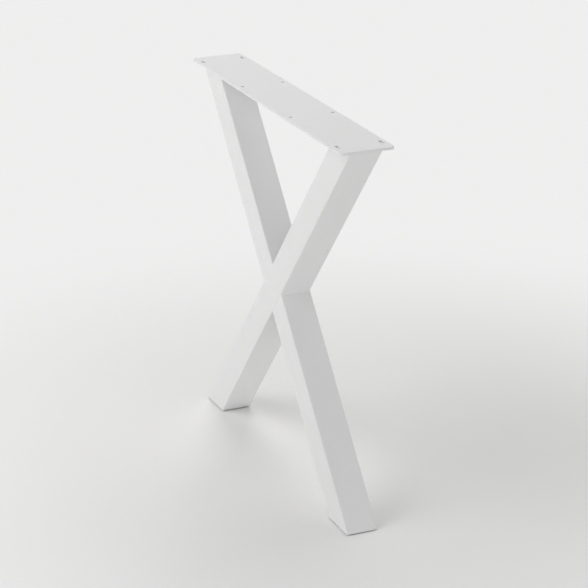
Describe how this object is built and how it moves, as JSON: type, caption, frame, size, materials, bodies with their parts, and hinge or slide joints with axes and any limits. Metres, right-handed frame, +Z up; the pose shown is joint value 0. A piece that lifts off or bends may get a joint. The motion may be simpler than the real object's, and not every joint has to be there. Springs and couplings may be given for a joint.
{
  "type": "x shaped table leg",
  "caption": "White powder-coated steel table leg: square tubes crossing in a flush X, under a slotted top plate, on plastic glides.",
  "frame": {"origin": "on the floor, under the crossing, in the middle of the leg's width and depth", "axes": "+Z up, +X across the leg towards the top of the through tube, -Y out of the face turned to the table's end"},
  "size_m": [0.68, 0.1, 0.71],
  "materials": {
    "powder_coat": "satin white powder coat with a very fine texture",
    "glide_plastic": "dull dark moulded plastic"
  },
  "bodies": {
    "root": {"through_tube": "powder_coat", "upper_half_tube": "powder_coat", "lower_half_tube": "powder_coat", "crossing_welds": "powder_coat", "plate_welds": "powder_coat", "top_plate": "powder_coat", "left_foot_plate": "powder_coat", "right_foot_plate": "powder_coat", "left_glide": "glide_plastic", "right_glide": "glide_plastic"}
  },
  "joints": []
}
